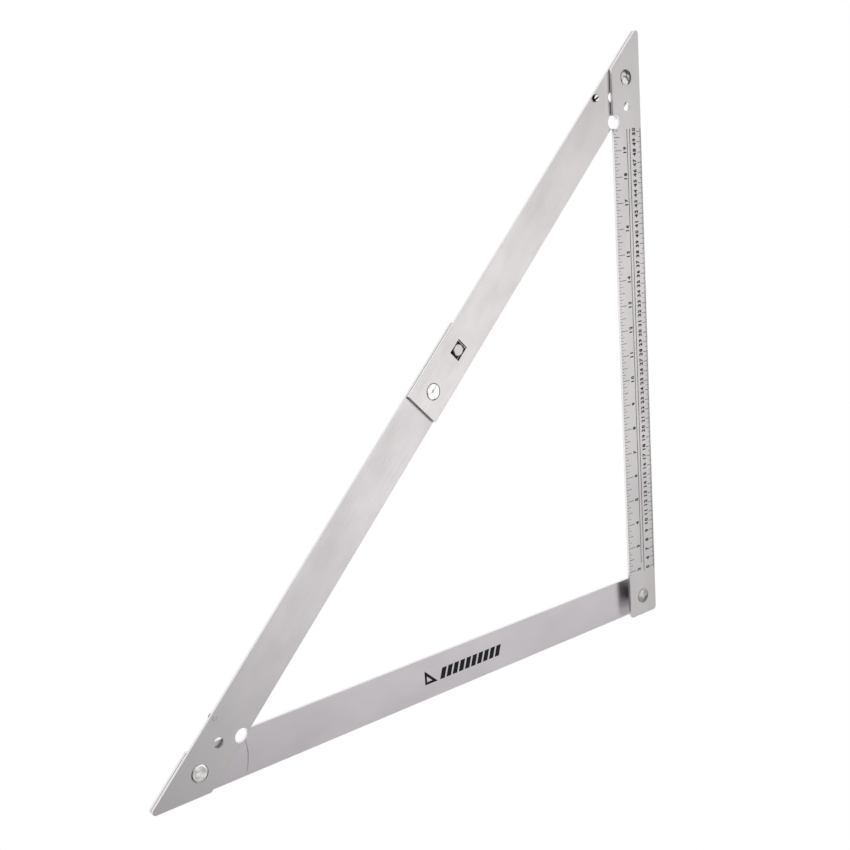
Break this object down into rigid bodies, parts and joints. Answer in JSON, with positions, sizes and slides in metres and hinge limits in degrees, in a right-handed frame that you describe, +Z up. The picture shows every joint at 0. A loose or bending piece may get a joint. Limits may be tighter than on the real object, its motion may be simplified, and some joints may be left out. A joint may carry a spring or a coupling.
{
  "type": "folding frame square",
  "caption": "Folding aluminium frame square: two legs hinged at a right angle, held open by a two-piece brace with a push latch.",
  "frame": {"origin": "middle of the part's footprint, at the underside of the plain leg", "axes": "lies flat: +Z up, scale side up; the scale leg lies along +Y on the +X side, the plain leg along X on the -Y side, and the outer right-angle corner points to +X -Y"},
  "size_m": [0.5958, 0.5958, 0.0144],
  "materials": {
    "bar_aluminium": "satin, finely brushed, black printed scales",
    "rivet_aluminium": "bright",
    "plated_steel": "bright plated",
    "spring_steel": "blackened",
    "washer_nylon": "matte"
  },
  "bodies": {
    "scale_leg": {"scale_leg": "bar_aluminium", "corner_rivet": "rivet_aluminium", "corner_spacer": "washer_nylon", "corner_washer": "washer_nylon", "top_rivet": "rivet_aluminium", "top_washer": "washer_nylon"},
    "plain_leg": {"plain_leg": "bar_aluminium"},
    "upper_brace": {"upper_brace": "bar_aluminium", "centre_rivet_head": "rivet_aluminium", "centre_washer": "washer_nylon", "upper_stop_screw": "plated_steel"},
    "lower_brace": {"lower_brace": "bar_aluminium", "base_rivet": "rivet_aluminium", "base_washer": "washer_nylon", "centre_rivet_tail": "rivet_aluminium", "lower_stop_screw": "plated_steel", "latch_spring": "spring_steel", "latch_spring_rivets": "rivet_aluminium"},
    "latch": {"latch_button": "plated_steel"}
  },
  "joints": [
    {"name": "leg_fold", "type": "hinge", "parent": "scale_leg", "child": "plain_leg", "pos_m": [0.27788, -0.27788, 0.0014], "axis": [0, 0, -1], "range_deg": [0, 90]},
    {"name": "upper_brace_fold", "type": "hinge", "parent": "scale_leg", "child": "upper_brace", "pos_m": [0.27788, 0.25384, 0.008], "axis": [0, 0, 1], "range_deg": [0, 45]},
    {"name": "lower_brace_fold", "type": "hinge", "parent": "plain_leg", "child": "lower_brace", "pos_m": [-0.25384, -0.27788, 0.0047], "axis": [0, 0, -1], "range_deg": [0, 45]},
    {"name": "latch_press", "type": "slide", "parent": "lower_brace", "child": "latch", "axis": [0, 0, -1], "range_m": [0, 0.0029], "stiffness_N_per_m": 900, "springref_m": -0.001, "deforming": ["latch_spring", "latch_button"]}
  ],
  "couplings": [
    {"joint": "upper_brace_fold", "follows": "leg_fold", "ratio": 0.5},
    {"joint": "lower_brace_fold", "follows": "leg_fold", "ratio": 0.5}
  ]
}
